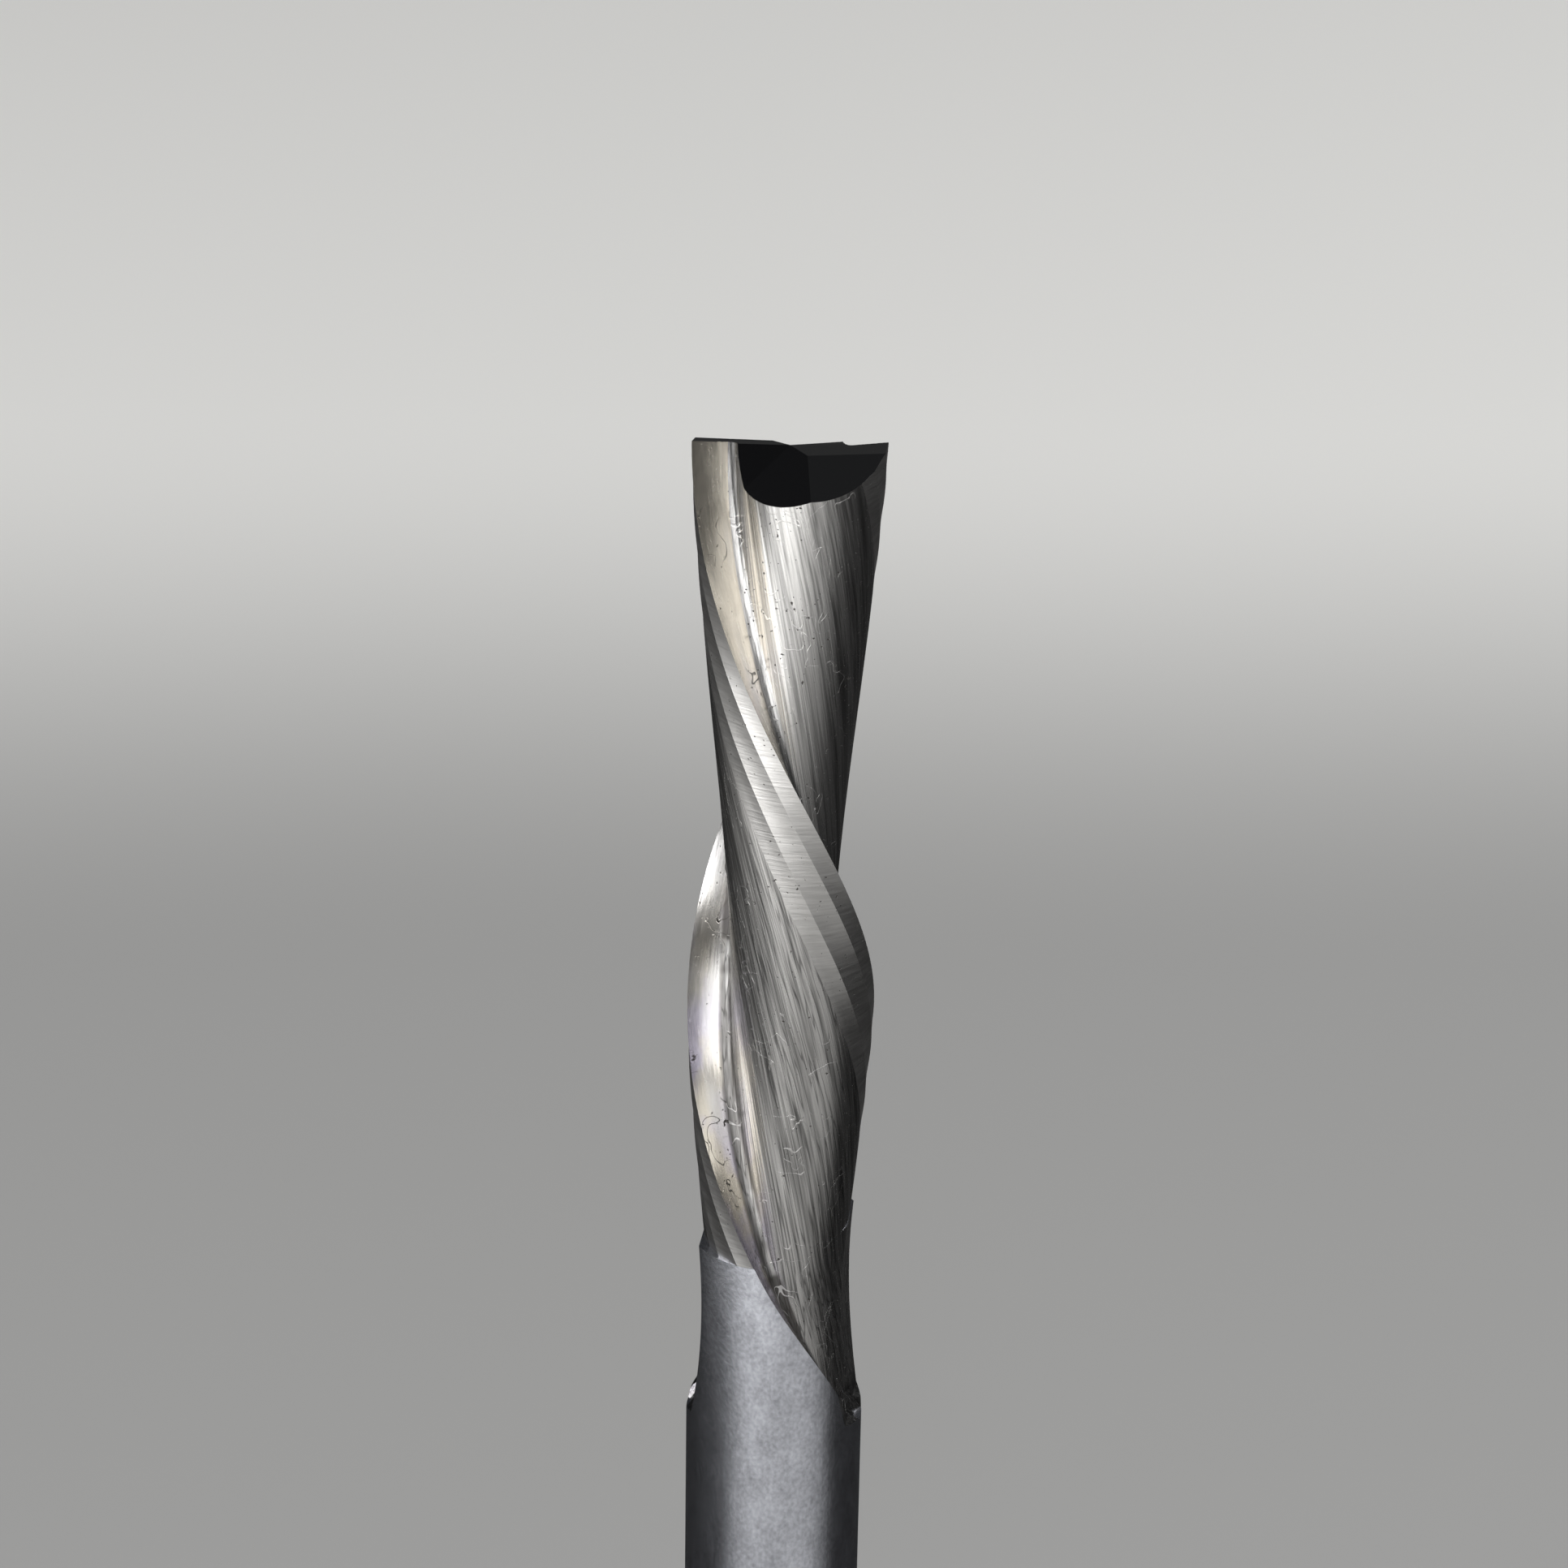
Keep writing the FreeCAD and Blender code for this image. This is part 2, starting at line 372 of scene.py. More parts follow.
def new_object(name, data):
    made = bpy.data.objects.new(name, data)
    bpy.context.scene.collection.objects.link(made)
    return made


# The cutters' flat outlines, in millimetres in the flute's own section with the edge on the X axis


def step(degrees, distance):
    return Vector((math.cos(math.radians(degrees)), math.sin(math.radians(degrees)))) * distance


def turned(point, degrees):
    return Matrix.Rotation(math.radians(degrees), 2) @ point


class Section:
    """The flute's section, worked out from the sizes as the grinder does."""

    def __init__(self, sizes):
        for name in RouterBitSizes.__annotations__:
            value = getattr(sizes, name)
            unit = RouterBitSizes.bl_rna.properties[name]
            scale = {"LENGTH": MM, "ROTATION": math.degrees(1)}.get(unit.unit, 1)
            setattr(self, name, value * scale)
        self.cut_radius = self.cutting_diameter / 2
        self.shank_radius = self.shank_diameter / 2
        self.core_radius = self.core_diameter / 2
        self.lead = math.pi * self.cutting_diameter / math.tan(math.radians(self.helix_angle))
        self.cut_end = self.overall_length - self.cutting_length
        self.tooth_angle = 360 / self.flutes
        self.overshoot = OVERSHOOT
        self.rim_radius = self.cut_radius + RIM_OVERSHOOT
        self.edge = Vector((self.cut_radius, 0.0))
        corner = self.edge
        self.land = [corner]
        for part in ("margin", "second", "heel"):
            corner = corner + step(-90 - getattr(self, part + "_relief"), getattr(self, part + "_width"))
            self.land.append(corner)
        self.heel = turned(self.land[-1], self.tooth_angle)
        from_core = self.heel.length_squared - self.core_radius ** 2
        offset = from_core / (2 * (self.core_radius - self.heel.x))
        self.back_radius = self.core_radius + offset
        self.back_centre = Vector((-offset, 0.0))
        from_centre = self.heel - self.back_centre
        self.heel_direction = math.degrees(math.atan2(from_centre.y, from_centre.x))
        self.gullet = self.gullet_centre()
        to_gullet = self.gullet - self.back_centre
        self.to_back = math.degrees(math.atan2(to_gullet.y, to_gullet.x))
        self.outside = self.edge + step(self.rake_angle, self.overshoot)

    def gullet_centre(self):
        """Centre of the small arc that touches both the rake face and the flute's back."""
        inwards = step(self.rake_angle, 1.0)
        start = self.edge + step(self.rake_angle + 90, self.gullet_radius) - self.back_centre
        along = start.dot(inwards)
        apart = start.length_squared - (self.back_radius + self.gullet_radius) ** 2
        return start + self.back_centre - inwards * (along - math.sqrt(along ** 2 - apart))


class Outline:
    """A cutter's closed outline, as points that lie a reach from a centre.

    The angle that a point lies at may follow the end of the flute's back.
    """

    def __init__(self):
        self.rows = []

    def spot(self, point, finish):
        """A fixed point. The finish is that of the stretch that starts here."""
        reach = point.length
        self.rows.append((0.0, 0.0, reach, math.atan2(point.y, point.x), 0.0, finish))

    def line(self, start, end, finish):
        """A straight stretch from start up to, but without, end."""
        count = max(1, math.ceil((end - start).length / OUTLINE_GAP))
        for i in range(count):
            self.spot(start.lerp(end, i / count), finish)

    def arc(self, centre, radius, start, end, count, finish):
        for i in range(count):
            turn = math.radians(start + (end - start) * i / count)
            self.rows.append((centre.x, centre.y, radius, turn, 0.0, finish))

    def following_arc(self, centre, radius, start, count, finish):
        """An arc from a fixed angle up to the back's end, wherever that is."""
        for i in range(count):
            t = i / count
            self.rows.append((centre.x, centre.y, radius, math.radians(start) * (1 - t), t, finish))

    def run_on(self, centre, radius, distance, finish):
        """The straight run past the back's end."""
        count = max(1, math.ceil(distance / OUTLINE_GAP))
        for i in range(count + 1):
            beyond = distance * i / count
            turn, reach = math.atan2(beyond, radius), math.hypot(beyond, radius)
            self.rows.append((centre.x, centre.y, reach, turn, 1.0, finish if i < count else SHANK))

    def rim(self, section, last_angle):
        """Round the outside, back to the first point."""
        first = math.degrees(math.atan2(section.outside.y, section.outside.x))
        for i in range(RIM_SIDES + 1):
            self.spot(step(last_angle + (first - last_angle) * i / RIM_SIDES, section.rim_radius), SHANK)

    def to_object(self, name, back_end):
        """A mesh object with the outline as one face, drawn with the back's end at an angle."""
        mesh = bpy.data.meshes.new(name)
        points = []
        for x, y, reach, turn, follow, finish in self.rows:
            a = turn + follow * math.radians(back_end)
            points.append((x + reach * math.cos(a), y + reach * math.sin(a), 0.0))
        mesh.from_pydata(points, [], [range(len(points))])
        for column, label in enumerate(("centre_x", "centre_y", "reach", "turn", "follow", "finish")):
            layer = mesh.attributes.new(label, "FLOAT", "POINT")
            layer.data.foreach_set("value", [row[column] for row in self.rows])
        return new_object(name, mesh)


def start_outline(section):
    """The rake face and the gullet, which all cutters share."""
    outline = Outline()
    foot = section.gullet + step(section.rake_angle - 90, section.gullet_radius)
    outline.line(section.outside, foot, RAKE)
    start, end = section.rake_angle - 90, section.to_back - 180
    outline.arc(section.gullet, section.gullet_radius, start, end, GULLET_STEPS, FLUTE)
    return outline


def tooth_space_outline(section):
    outline = start_outline(section)
    start, end = section.to_back, section.heel_direction
    outline.arc(section.back_centre, section.back_radius, start, end, BACK_STEPS, FLUTE)
    land = [turned(corner, section.tooth_angle) for corner in section.land]
    beyond = land[0] + step(section.tooth_angle + 90 - section.margin_relief, section.overshoot)
    outline.line(land[3], land[2], HEEL)
    outline.line(land[2], land[1], SECOND)
    outline.line(land[1], beyond, MARGIN)
    outline.spot(beyond, SHANK)
    outline.rim(section, math.degrees(math.atan2(beyond.y, beyond.x)) % 360)
    return outline.to_object("tooth_space_outline", section.heel_direction)


def runout_outline(section):
    outline = start_outline(section)
    centre, radius = section.back_centre, section.back_radius
    back_end = section.scoop_direction - section.scoop_lead_in
    outline.following_arc(centre, radius, section.to_back, RUNOUT_BACK_STEPS, FLUTE)
    outline.run_on(centre, radius, RUN_ON_LENGTH, RUNOUT)
    end = centre + step(back_end, radius) + step(back_end + 90, RUN_ON_LENGTH)
    outline.rim(section, math.degrees(math.atan2(end.y, end.x)) % 360)
    return outline.to_object("runout_outline", back_end)


def turned_rod_outline(section):
    """Half the rod's outline in X and Z, from the shank end up to the tip."""
    stock, shank = section.cut_radius + GRINDING_STOCK, section.shank_radius
    points = [
        (0, 0), (shank - section.shank_chamfer, 0), (shank, section.shank_chamfer),
        (shank, section.cut_end), (stock, section.cut_end + abs(stock - shank)),
        (stock, section.overall_length), (0, section.overall_length),
    ]
    mesh = bpy.data.meshes.new("router_bit_ground")
    mesh.from_pydata([(x, 0, z) for x, z in points], [(i, i + 1) for i in range(len(points) - 1)], [])
    return new_object("router_bit_ground", mesh)


# Geometry trees


def lathe_tree():
    """Turns an outline in X and Z about the Z axis into a closed solid."""
    tree, net, given = geometry_tree("Lathe", [("Outline", "Geometry"), ("Sides", "Int")])
    rings = net.add("GeometryNodeAttributeDomainSize", {"component": "MESH"}, {0: given["Outline"]})
    grid = net.add("GeometryNodeMeshGrid", inputs={"Vertices X": given["Sides"] + 1, "Vertices Y": rings})
    index = net.add("GeometryNodeInputIndex")
    ring = index.math("MODULO", rings)
    side = (index / rings).math("FLOOR")
    place = net.add("GeometryNodeInputPosition")
    at = net.sampled(given["Outline"], place, ring, "FLOAT_VECTOR")
    around = net.turned(at, side / given["Sides"] * math.tau)
    solid = net.add("GeometryNodeSetPosition", inputs={"Geometry": grid, "Position": around})
    finish_tree(net, net.welded(solid))
    return tree


CUTTER_INPUTS = [
    ("Outline", "Geometry"), ("Rows", "Int"), ("Slow Rows", "Int"), ("Top", "Float"), ("Slow End", "Float"),
    ("Slow Rise", "Float"), ("End Length", "Float"), ("End Rise", "Float"), ("Climb Direction", "Float"),
    ("Back End", "Float"), ("Back End Top", "Float"), ("Tip Height", "Float"), ("Lead", "Float"),
]
GRINDING_INPUTS = [
    ("Rod Outline", "Geometry"), ("Tooth Space", "Object"), ("Run-out", "Object"), ("Material", "Material"),
    ("Flutes", "Int"), ("Rod Sides", "Int"),
]
# Sizes of the grinding tree, in millimetres and radians, by the names that Section gives them
TREE_LENGTHS = (
    "overall_length", "cutting_length", "cut_radius", "lead", "overshoot", "runout_length", "runout_rise",
    "runout_end_length", "runout_end_rise", "scoop_radius", "scoop_depth", "scoop_drop", "end_land_width",
)
TREE_ANGLES = (
    "climb_direction", "scoop_direction", "scoop_lead_in", "scoop_end_slope", "dish_angle", "end_land_relief",
    "end_clearance", "gash_rake", "gash_lead", "gash_wall_slope", "gash_wall_turn",
)


def cutter_tree():
    """Sweeps a cutter's outline down the helix, moving it out as the wheel climbs."""
    tree, net, given = geometry_tree("Helical Cutter", CUTTER_INPUTS)
    count = net.add("GeometryNodeAttributeDomainSize", {"component": "MESH"}, {0: given["Outline"]})
    index = net.add("GeometryNodeInputIndex")

    def swept(geometry, point, row):
        """The geometry with each vertex at a point of the outline, at the height of a row."""

        def sample(label):
            return net.sampled(given["Outline"], net.named(label), point)

        slow = row.math("MINIMUM", given["Slow Rows"]) / given["Slow Rows"]
        fast = (row - given["Slow Rows"]).math("MAXIMUM", 0.0)
        height = given["Top"] * (1 - slow) + given["Slow End"] * slow - fast * given["End Length"]
        eased = slow.math("MINIMUM", CLIMB_EASE)
        climbed = (eased * eased / (2 * CLIMB_EASE) + slow - eased) / (1 - CLIMB_EASE / 2)
        rise = climbed * given["Slow Rise"] + fast * given["End Rise"]
        twist = (given["Tip Height"] - height) / given["Lead"] * math.tau
        end = given["Back End"] - (given["Back End Top"] - height) / given["Lead"] * math.tau
        turn = sample("turn") + sample("follow") * end
        reach, way = sample("reach"), given["Climb Direction"]
        x = sample("centre_x") + reach * turn.math("COSINE") + rise * way.math("COSINE")
        y = sample("centre_y") + reach * turn.math("SINE") + rise * way.math("SINE")
        place = net.turned(net.vector(x, y, height), twist)
        return net.add("GeometryNodeSetPosition", inputs={"Geometry": geometry, "Position": place})

    columns = count + 1
    grid = net.add("GeometryNodeMeshGrid", inputs={"Vertices X": given["Rows"], "Vertices Y": columns})
    side = swept(grid, index.math("MODULO", columns).math("MODULO", count), (index / columns).math("FLOOR"))
    finish = net.sampled(given["Outline"], net.named("finish"), index.math("MODULO", count))
    side = net.finished(side, finish)
    bare = net.add(
        "GeometryNodeRemoveAttribute", {"pattern_mode": "WILDCARD"},
        {"Geometry": given["Outline"], "Name": "*"},
    )
    first_row = net.add("ShaderNodeValue")  # a plain 0
    top = swept(bare, index, first_row)
    bottom = net.add("GeometryNodeFlipFaces", inputs={0: swept(bare, index, given["Rows"] - 1)})
    solid = net.welded(net.add("GeometryNodeJoinGeometry", inputs={0: [side, top, bottom]}))
    finish_tree(net, net.add("GeometryNodeFlipFaces", inputs={0: solid}))
    return tree


def grinding_tree():
    """Turns the rod, grinds its flutes, run-outs, scoops and end, and marks its sharp edges."""
    sizes = [(name, "Float") for name in TREE_LENGTHS + TREE_ANGLES]
    tree, net, given = geometry_tree("Ground Router Bit", GRINDING_INPUTS + sizes)
    lathe, cutter = lathe_tree(), cutter_tree()
    cut_end = given["overall_length"] - given["cutting_length"]
    block_size = given["cut_radius"] * BLOCK_RADII

    def group(tree_used, **inputs):
        named = {label.replace("_", " "): value for label, value in inputs.items()}
        return net.add("GeometryNodeGroup", {"node_tree": tree_used}, named)

    def around(solid):
        """One copy for each flute."""
        copy = net.add("GeometryNodeGeometryToInstance", inputs={0: solid})
        copies = net.add(
            "GeometryNodeDuplicateElements", {"domain": "INSTANCE"},
            {"Geometry": copy, "Amount": given["Flutes"]},
        )
        number = Value(net, copies.socket.node.outputs["Duplicate Index"])
        turn = net.vector(0.0, 0.0, number * math.tau / given["Flutes"])
        return net.add("GeometryNodeRotateInstances", inputs={"Instances": copies, "Rotation": turn})

    def boolean(operation, first, *others):
        kind = {"operation": operation, "solver": "EXACT"}
        if operation == "DIFFERENCE":
            return net.add("GeometryNodeMeshBoolean", kind, {"Mesh 1": first, "Mesh 2": list(others)})
        return net.add("GeometryNodeMeshBoolean", kind, {"Mesh": [first, *others]})

    def moved(solid, translation=(0.0, 0.0, 0.0), rotation=(0.0, 0.0, 0.0)):
        return net.add(
            "GeometryNodeTransform",
            inputs={"Geometry": solid, "Translation": translation, "Rotation": rotation},
        )

    def block(origin, outwards, finish):
        """A large block on the plane through origin, on the side that outwards points to."""
        side = net.vector(block_size, block_size, block_size)
        cube = net.add("GeometryNodeMeshCube", inputs={"Size": side})
        way = net.vector_math("NORMALIZE", outwards)
        half = net.vector_math("SCALE", way, block_size / 2)
        rotation = net.add("FunctionNodeAlignRotationToVector", {"axis": "Z"}, {"Vector": way})
        placed = moved(cube, net.vector_math("ADD", origin, half), rotation)
        return net.finished(placed, float(finish))

    def outline_of(picked):
        return net.add("GeometryNodeObjectInfo", inputs={"Object": picked}, output="Geometry")

    space = group(
        cutter, Outline=outline_of(given["Tooth Space"]), Rows=FLUTE_ROWS + 1, Slow_Rows=FLUTE_ROWS,
        Top=given["overall_length"] + given["overshoot"], Slow_End=cut_end,
        Tip_Height=given["overall_length"], Lead=given["lead"],
    )
    runout = group(
        cutter, Outline=outline_of(given["Run-out"]), Rows=RUNOUT_ROWS + 2, Slow_Rows=RUNOUT_ROWS,
        Top=cut_end, Slow_End=cut_end - given["runout_length"], Slow_Rise=given["runout_rise"],
        End_Length=given["runout_end_length"], End_Rise=given["runout_end_rise"],
        Climb_Direction=given["climb_direction"],
        Back_End=given["scoop_direction"] - given["scoop_lead_in"], Back_End_Top=cut_end,
        Tip_Height=given["overall_length"], Lead=given["lead"],
    )

    # The scoop: a wheel's rim on the heel side of each run-out, made to face +X and then turned round
    near = given["cut_radius"] - given["scoop_depth"]
    wheel = net.add(
        "GeometryNodeMeshCylinder", {"fill_type": "NGON"},
        {"Vertices": WHEEL_SIDES, "Side Segments": 1, "Radius": given["scoop_radius"], "Depth": block_size},
    )
    hub = net.vector(near + given["scoop_radius"], 0.0, cut_end - given["scoop_drop"])
    wheel = net.finished(moved(wheel, hub, (math.radians(-90), 0.0, 0.0)), float(RUNOUT))
    slope = given["scoop_end_slope"]
    below = block(
        net.vector(near, 0.0, cut_end - given["runout_length"]),
        net.vector(-slope.math("SINE"), 0.0, -slope.math("COSINE")), RUNOUT,
    )
    scoop_turn = given["scoop_direction"] + given["cutting_length"] / given["lead"] * math.tau
    scoop = moved(boolean("DIFFERENCE", wheel, below), rotation=net.vector(0.0, 0.0, scoop_turn))

    # The end grinding behind one edge and in front of the other
    dish, relief = given["dish_angle"].math("TANGENT"), given["end_land_relief"].math("TANGENT")
    centre = net.vector(0.0, 0.0, given["overall_length"] - dish * given["cut_radius"])
    width = given["end_land_width"]
    land_back = net.vector_math("ADD", centre, net.vector(0.0, -width, -width * relief))
    fall, fall_turn = given["gash_wall_slope"].math("TANGENT"), given["gash_wall_turn"]
    wall = net.vector(-fall * fall_turn.math("SINE"), -fall * fall_turn.math("COSINE"), 1.0)
    ground = boolean(
        "UNION", block(centre, net.vector(-dish, -relief, 1.0), END_LAND),
        block(land_back, net.vector(-dish, -given["end_clearance"].math("TANGENT"), 1.0), CLEARANCE),
        block(centre, wall, GASH),
    )
    edge = net.vector(-1.0, -given["gash_lead"].math("TANGENT"), dish)
    down_wall = net.vector(0.0, -given["gash_rake"].math("TANGENT"), -1.0)
    in_front = block(centre, net.vector_math("CROSS_PRODUCT", edge, down_wall), GASH)
    end = boolean("INTERSECT", ground, in_front)

    body = group(lathe, Outline=given["Rod Outline"], Sides=given["Rod Sides"])
    body = net.finished(body, float(SHANK))
    body = net.welded(boolean("DIFFERENCE", body, *(around(tool) for tool in (space, runout, scoop, end))))
    smooth_edge = net.add("GeometryNodeInputMeshEdgeAngle").math("LESS_THAN", SHARP_ANGLE)
    for domain, smooth in (("FACE", True), ("EDGE", smooth_edge)):
        inputs = {"Geometry": body, "Shade Smooth": smooth}
        body = net.add("GeometryNodeSetShadeSmooth", {"domain": domain}, inputs)
    body = net.add("GeometryNodeTransform", inputs={"Geometry": body, "Scale": (1 / MM, 1 / MM, 1 / MM)})
    body = net.add("GeometryNodeRealizeInstances", inputs={0: body})
    body = net.add("GeometryNodeSetMaterial", inputs={"Geometry": body, "Material": given["Material"]})
    finish_tree(net, body)
    return tree


def ground_mesh(section, material):
    """Runs the grinding tree and gives its result as a plain object."""
    rod = turned_rod_outline(section)
    space, runout = tooth_space_outline(section), runout_outline(section)
    settings = {
        "Tooth Space": space, "Run-out": runout, "Material": material, "Flutes": section.flutes,
        "Rod Sides": ROD_SIDES,
    }
    settings.update({name: getattr(section, name) for name in TREE_LENGTHS})
    settings.update({name: math.radians(getattr(section, name)) for name in TREE_ANGLES})
    modifier = rod.modifiers.new("Grinding", "NODES")
    modifier.node_group = grinding_tree()
    items = modifier.node_group.interface.items_tree
    sockets = {item.name: item.identifier for item in items if item.in_out == "INPUT"}
    for name, value in settings.items():
        modifier[sockets[name]] = value
    bpy.context.view_layer.update()
    graph = bpy.context.evaluated_depsgraph_get()
    plain = bpy.data.meshes.new_from_object(
        rod.evaluated_get(graph), preserve_all_data_layers=True, depsgraph=graph
    )
    rod.modifiers.clear()
    rod.data = plain
    for helper in (space, runout):
        bpy.data.objects.remove(helper)
    return rod


def new_material(name):
    """A material with an empty tree, and its net."""
    material = bpy.data.materials.new(name)
    material.use_nodes = True
    material.node_tree.nodes.clear()
    return material, Net(material.node_tree)


def finish_material(net, inputs):
    """Ends a material's tree in a principled shader with these inputs."""
    shader = net.add("ShaderNodeBsdfPrincipled", inputs=inputs)
    output = net.tree.nodes.new("ShaderNodeOutputMaterial")
    net.tree.links.new(shader.socket, output.inputs["Surface"])


def carbide_material(look, section):
    """Ground carbide: each face wears the marks of the wheel that ground it, and some faces carry painted
    light and shade.
    """
    material, net = new_material("ground_carbide")
    place = net.vector_math("SCALE", net.add("ShaderNodeTexCoord", output="Object"), MM)
    spot = net.xyz(place)
    height = spot[2]
    below_tip = section.overall_length - height

    def unwound(lead):
        """The place with a twist of a lead taken out of it, in its three parts."""
        return net.xyz(net.turned(place, below_tip * (-math.tau / lead)))

    flute = unwound(section.lead)
    marks = unwound(MARK_LEAD)
    finish = net.add("ShaderNodeAttribute", {"attribute_name": "finish"}, output="Fac")

    def is_finish(*kinds):
        masks = [finish.math("COMPARE", float(kind), 0.5) for kind in kinds]
        return sum(masks[1:], masks[0])

    ground = is_finish(FLUTE, RUNOUT)
    rake, lands, shank = is_finish(RAKE), is_finish(MARGIN, SECOND, HEEL), is_finish(SHANK)
    end, gash, end_land = is_finish(END_LAND, CLEARANCE, GASH), is_finish(GASH), is_finish(END_LAND)

    def pattern(name, parts, distortion=0.0):
        stretch, detail = PATTERNS[name]
        return net.noise(net.scaled(parts, *stretch), detail, distortion)

    # Wheel marks: long streaks along the flutes and short ones across the lands
    coarse, fine = pattern("coarse", marks), pattern("fine", marks)
    streaks = coarse * 0.55 + fine * 0.45
    lines = net.ramp((pattern("lines", marks) - 0.5).math("ABSOLUTE"), *LINE_WIDTH)
    across, slow = pattern("across", flute), pattern("slow", flute)
    grain, mottle = pattern("grain", spot), pattern("mottle", spot)

    # Heat tints on the rake faces
    straw_and_painted_light_share = net.ramp(height, *STRAW_RISE)
    violet_share = net.ramp(slow, *VIOLET_STEP) * net.ramp(height, *reversed(STRAW_RISE))
    tint = net.mix(violet_share, look.straw, look.violet)
    tint_share = net.ramp(pattern("tint", flute) + straw_and_painted_light_share * 0.2, *TINT_STEP)

    # Colour, and how it is dimmed, with painted light and shade at the rake's top, the tip and the run-out's
    # end
    base = net.mix(lands, net.mix(ground, look.shank, look.metal), look.land)
    base = net.mix(rake, base, net.mix(tint_share, look.metal, tint))
    # Painted highlight: a pale strip along the tip's end edges
    painted_edge_highlight = net.ramp(spot[1].math("ABSOLUTE"), *PAINTED_EDGE_HIGHLIGHT_WIDTH)
    # Painted shade: the tip's end faces take a darker copy of the carbide; the end lands keep the lands'
    # colour
    base = net.mix(end, base, net.mix(painted_edge_highlight.math("MAXIMUM", end_land * 0.8), look.end, look.land))
    # Painted shade: the gash walls are made nearly black
    base = net.mix(gash, base, look.gash)
    fading = net.ramp(height, *MARKS_FADE) * 0.35 + 0.22
    shade = (net.ramp(streaks, *STREAK_STEP) * 0.5 + 0.5) * (1 - fading * (1 - lines))
    shade = net.blend(ground, 1.0, shade)
    shade = shade * net.blend(lands, 1.0, 0.72 + across * 0.56)
    # Painted light: the rake faces are made brighter towards the top
    shade = shade * net.blend(rake, 1.0, 0.70 + coarse * 0.30 + fine * 0.30 + straw_and_painted_light_share * 0.16)
    shade = shade * net.blend(shank, 1.0, 0.20 + mottle * 0.75 + grain * 0.85)
    above_runout_end = height - (section.cut_end - section.runout_length)
    # Painted shade: the flute is made darker at the run-out's steep end
    shade = shade * (1 - ground * net.ramp(above_runout_end, *RUNOUT_END_PAINTED_SHADE) * 0.6)
    base = net.vector_math("SCALE", base, shade)

    # Resin in the gullet, pits and specks, and a few hairs
    u, v, _ = flute
    reach = ((u - section.gullet.x) ** 2 + (v - section.gullet.y) ** 2).math("SQRT")
    other = ((u + section.gullet.x) ** 2 + (v + section.gullet.y) ** 2).math("SQRT")
    reach = reach.math("MINIMUM", other) - net.ramp(height, *GULLET_DIRT_NARROWS) * streaks * 0.3
    gullet = net.ramp(reach, *GULLET_DIRT_EDGE) * net.ramp(slow, *RESIN_STEP)
    gullet = gullet * net.ramp(height, *GULLET_DIRT_RISE)
    patches = pattern("patches", spot)
    specks = net.ramp(pattern("spots", spot) + patches * 0.35 * look.wear, *SPECK_STEP)
    curls = pattern("curls", spot, distortion=1.0)
    hairs = net.ramp((curls - 0.5).math("ABSOLUTE"), *HAIR_WIDTH) * net.ramp(patches, *HAIR_PATCHES)
    dirt = (gullet * 0.85).math("MAXIMUM", specks * 0.9) * (ground + rake + lands).math("MINIMUM", 1.0)
    base = net.mix(dirt, base, look.dust)
    base = net.mix(hairs * ground * 0.8, base, look.metal)
    base = net.mix(hairs * rake * 0.85, base, look.dust)

    roughness = net.blend(ground + rake, look.shank_roughness, look.flute_roughness + fine * 0.08)
    roughness = net.blend(lands, roughness, look.land_roughness + across * 0.12)
    roughness = net.blend(end, roughness, END_ROUGHNESS)
    roughness = roughness + dirt * 0.3
    soft = (ground + rake).math("MINIMUM", 1.0)
    relief = ground * (coarse * 2.0 + fine * 0.8) + rake * coarse
    relief = relief + lands * across * 0.5 + shank * grain * 0.35
    relief = relief - dirt * 0.6 + hairs * soft * 0.4
    bump = {"Strength": BUMP_STRENGTH, "Distance": BUMP_DISTANCE, "Height": relief}
    normal = net.add("ShaderNodeBump", inputs=bump)
    finish_material(net, {"Base Color": base, "Metallic": 1.0, "Roughness": roughness, "Normal": normal})
    return material


def floor_material(studio):
    """A pale floor that fades into the backdrop. For glossy rays it shows a painted reflection, brightest
    towards the front left.
    """
    material, net = new_material("pale_floor")
    spot = net.xyz(net.add("ShaderNodeTexCoord", output="Object"))
    x, y, _ = spot
    drift = net.noise(net.scaled(spot, *FLOOR_DRIFT_STRETCH), 1.0) * FLOOR_DRIFT
    change = studio.floor_change
    back = net.ramp(y + drift, change - FLOOR_CHANGE_BLUR, change + FLOOR_CHANGE_BLUR)
    pale = net.mix(back, studio.near_floor, studio.far_floor)
    bearing = y.math("ARCTAN2", x)
    distance = (x * x + y * y).math("SQRT")
    seen = net.add("ShaderNodeLightPath", output="Is Camera Ray")
    faded = net.ramp(distance, *FLOOR_FADE) * seen

    def towards(degrees):
        """1 in a direction, falling to 0 on the opposite side."""
        return (bearing - math.radians(degrees)).math("COSINE") * 0.5 + 0.5

    # Painted reflection: glossy rays see the floor bright towards the front left and dim elsewhere
    far = net.ramp(distance, *MIRROR_CHANGE)
    near = net.ramp(towards(NEAR_MIRROR_DIRECTION), *NEAR_MIRROR_SPREAD) * NEAR_MIRROR_STRENGTH
    bright = net.blend(far, near, towards(MIRROR_DIRECTION) ** MIRROR_FOCUS)
    painted_reflection = net.mix(bright, studio.painted_reflection_dim, studio.far_floor)
    glossy = net.add("ShaderNodeLightPath", output="Is Glossy Ray")
    base = net.vector_math("SCALE", net.mix(glossy, pale, painted_reflection), 1 - faded)
    glow = net.vector_math("SCALE", studio.backdrop, faded)
    finish_material(net, {
        "Base Color": base, "Roughness": 0.9, "Specular IOR Level": 0.1, "Emission Color": glow,
        "Emission Strength": 1.0,
    })
    return material


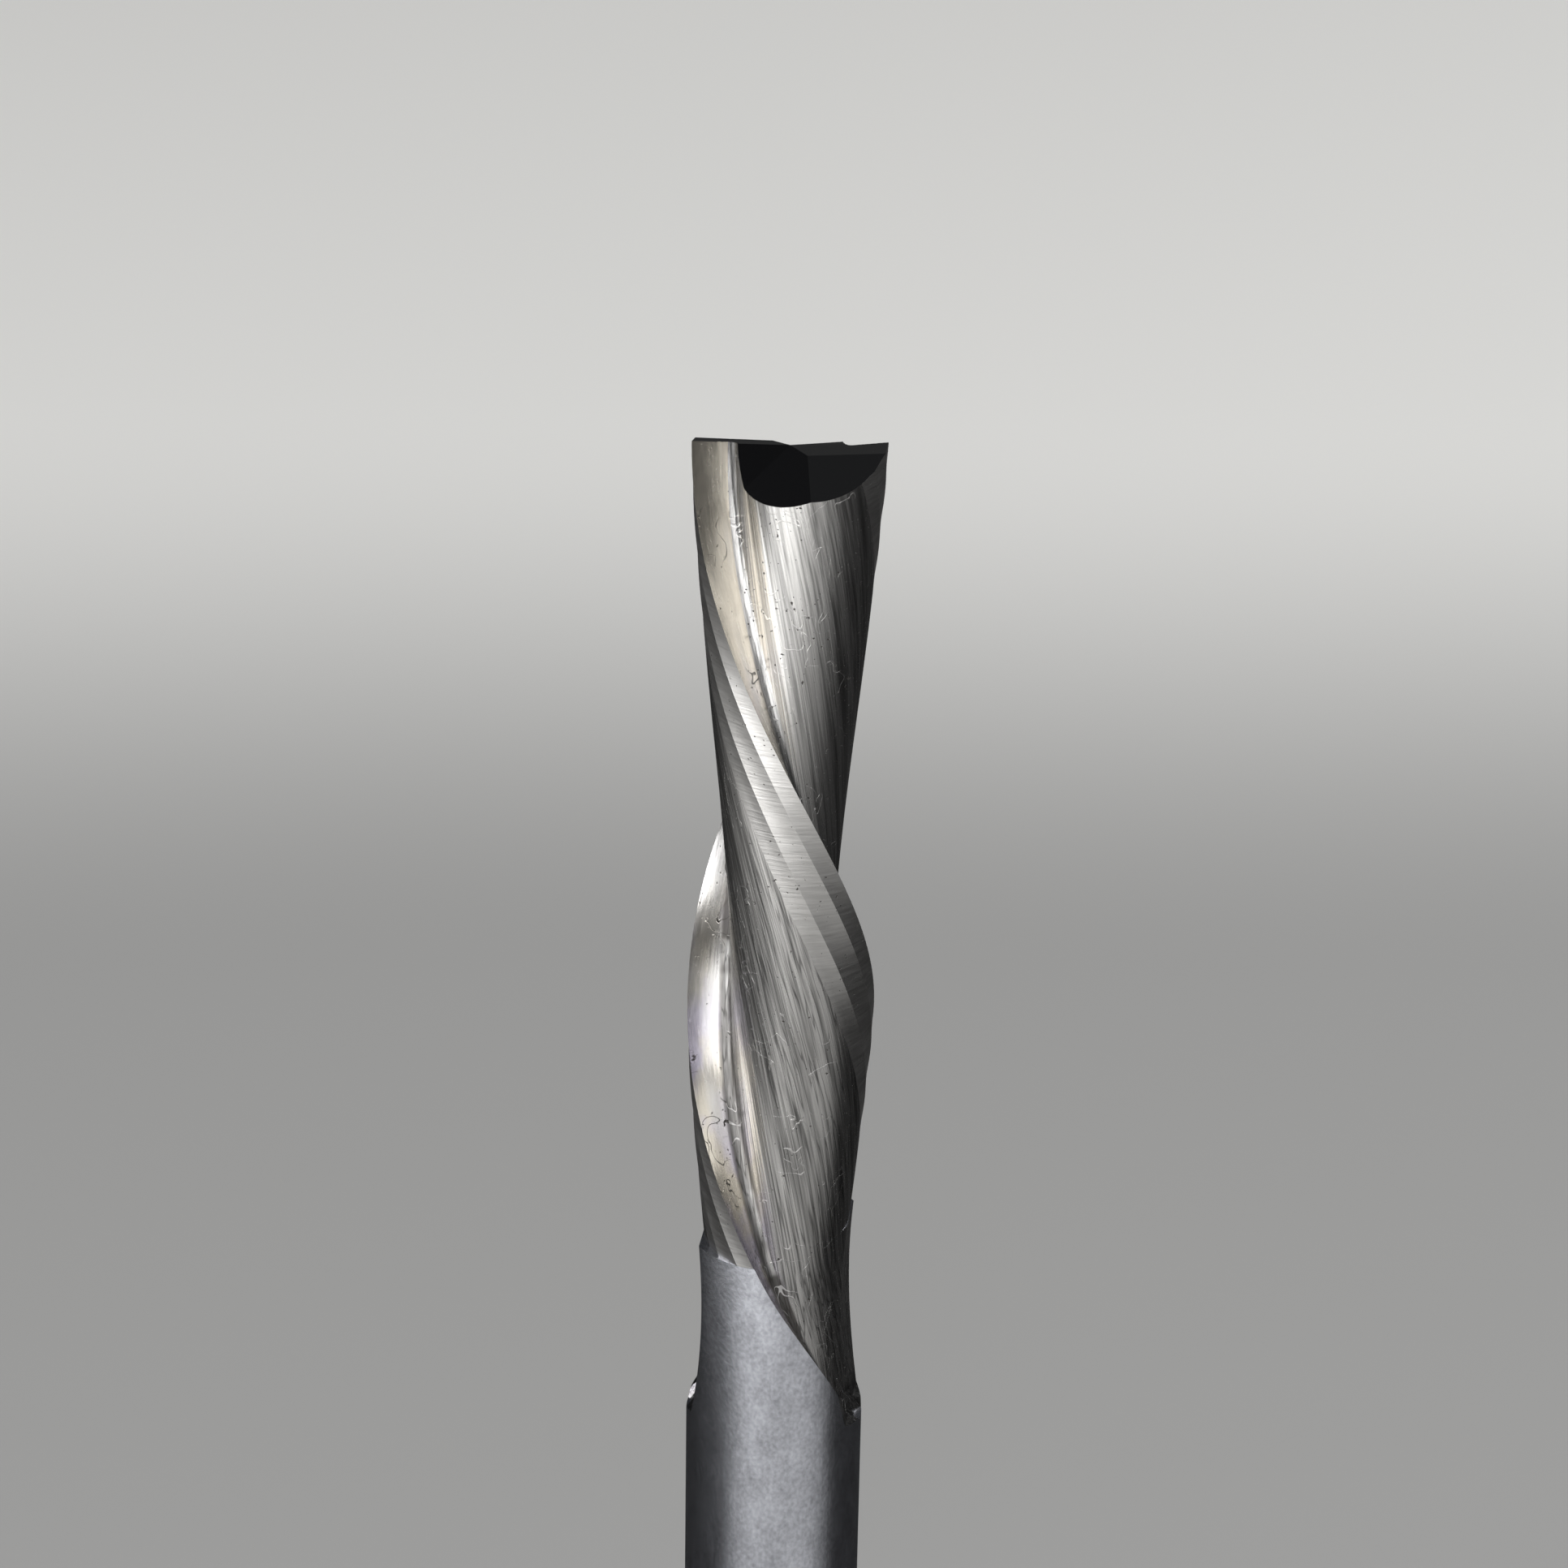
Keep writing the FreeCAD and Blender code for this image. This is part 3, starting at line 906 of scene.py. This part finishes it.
class ROUTERBIT_OT_grind(bpy.types.Operator):
    """Grind the router bit from its sizes and give it its ground carbide finish"""

    bl_idname = "routerbit.grind"
    bl_label = "Grind Router Bit"

    def execute(self, context):
        section = Section(context.scene.router_bit_sizes)
        material = carbide_material(context.scene.router_bit_look, section)
        bit = ground_mesh(section, material)
        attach(bit, "root")
        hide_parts("router_bit")
        return {"FINISHED"}


class ROUTERBIT_OT_stage(bpy.types.Operator):
    """Set up the floor, the soft lights and the camera round the router bit"""

    bl_idname = "routerbit.stage"
    bl_label = "Set Up Studio"

    def execute(self, context):
        studio = context.scene.router_bit_studio
        scene = context.scene
        scene.view_settings.view_transform = "Standard"
        mesh = bpy.data.meshes.new("floor")
        r = FLOOR_REACH
        mesh.from_pydata([(-r, -r, 0), (r, -r, 0), (r, r, 0), (-r, r, 0)], [], [(0, 1, 2, 3)])
        mesh.materials.append(floor_material(studio))
        floor = new_object("floor", mesh)

        world = bpy.data.worlds.new("room")
        scene.world = world
        world.use_nodes = True
        net = Net(world.node_tree)
        seen = net.add("ShaderNodeLightPath", output="Is Camera Ray")
        light = net.mix(seen, studio.room, studio.backdrop)
        world.node_tree.links.new(light.socket, world.node_tree.nodes["Background"].inputs["Color"])

        def area(name, azimuth, elevation, distance, size, power):
            """A soft lamp that faces the bit. Azimuth 0 is on the camera's side, and turns to the right."""
            side, rise = math.radians(azimuth), math.radians(elevation)
            level = Vector((math.sin(side), -math.cos(side), 0.0))
            way = level * math.cos(rise) + Vector((0.0, 0.0, math.sin(rise)))
            data = bpy.data.lights.new(name, "AREA")
            data.shape = "RECTANGLE"
            data.size, data.size_y = size
            data.energy = power
            lamp = new_object(name, data)
            lamp.location = LAMP_TARGET + way * distance
            lamp.rotation_euler = (-way).to_track_quat("-Z", "Y").to_euler()

        for lamps, power in ((WINDOW_LAMPS, studio.window_power), (SIDE_LAMPS, studio.side_power)):
            for name, (*placing, share_of_power) in lamps.items():
                area(name, *placing, power * share_of_power)

        data = bpy.data.cameras.new("camera")
        data.lens = CAMERA_LENS
        data.sensor_width = CAMERA_SENSOR
        data.clip_start = CAMERA_CLIP
        camera = new_object("camera", data)
        camera.location = CAMERA_PLACE
        camera.rotation_euler = [math.radians(degrees) for degrees in CAMERA_TURN]
        scene.camera = camera
        return {"FINISHED"}


class ROUTERBIT_PT_panel(bpy.types.Panel):
    bl_idname = "ROUTERBIT_PT_panel"
    bl_label = "Router Bit"
    bl_space_type = "VIEW_3D"
    bl_region_type = "UI"
    bl_category = "Router Bit"

    def draw(self, context):
        for group in (
            context.scene.router_bit_sizes, context.scene.router_bit_look, context.scene.router_bit_studio,
        ):
            box = self.layout.box()
            for name in type(group).__annotations__:
                box.prop(group, name)
        for operator in (ROUTERBIT_OT_grind, ROUTERBIT_OT_stage):
            self.layout.operator(operator.bl_idname)


GROUPS = {
    "router_bit_sizes": RouterBitSizes, "router_bit_look": CarbideLook, "router_bit_studio": StudioLook,
}
CLASSES = (*GROUPS.values(), ROUTERBIT_OT_grind, ROUTERBIT_OT_stage, ROUTERBIT_PT_panel)


def register():
    for cls in CLASSES:
        bpy.utils.register_class(cls)
    for name, group in GROUPS.items():
        setattr(bpy.types.Scene, name, PointerProperty(type=group))


def unregister():
    for name in GROUPS:
        delattr(bpy.types.Scene, name)
    for cls in reversed(CLASSES):
        bpy.utils.unregister_class(cls)


def main():
    register()
    bpy.ops.routerbit.grind()
    bpy.ops.routerbit.stage()


if __name__ == "__main__":
    main()
